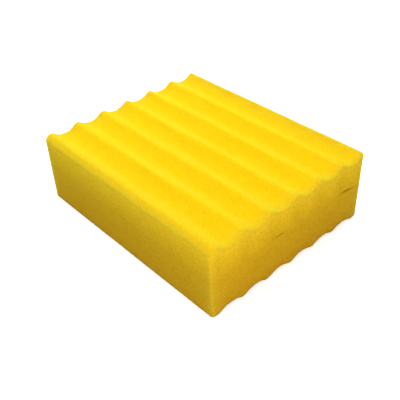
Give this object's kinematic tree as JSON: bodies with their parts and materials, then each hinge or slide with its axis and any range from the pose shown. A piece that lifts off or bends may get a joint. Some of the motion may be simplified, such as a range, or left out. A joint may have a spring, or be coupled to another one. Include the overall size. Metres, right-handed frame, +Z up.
{
  "type": "sponge filter",
  "caption": "Rectangular filter sponge of open-cell foam: wave-cut slabs stacked back to back, with parallel round-bottomed waves above and below.",
  "frame": {"origin": "centre of the base, on the plane that the lower slab's wave crests rest on", "axes": "+X along the waves, +Y across them towards the side that the last upper crest lies on, +Z up through the stack"},
  "size_m": [0.246, 0.2, 0.077],
  "materials": {
    "yellow_foam": "matte"
  },
  "bodies": {
    "lower_pad": {"lower_foam_pad": "yellow_foam"},
    "upper_pad": {"upper_foam_pad": "yellow_foam"}
  },
  "joints": [
    {"name": "upper_pad_lift", "type": "slide", "parent": "lower_pad", "child": "upper_pad", "axis": [0, 0, 1], "range_m": [0, 0.1]}
  ]
}
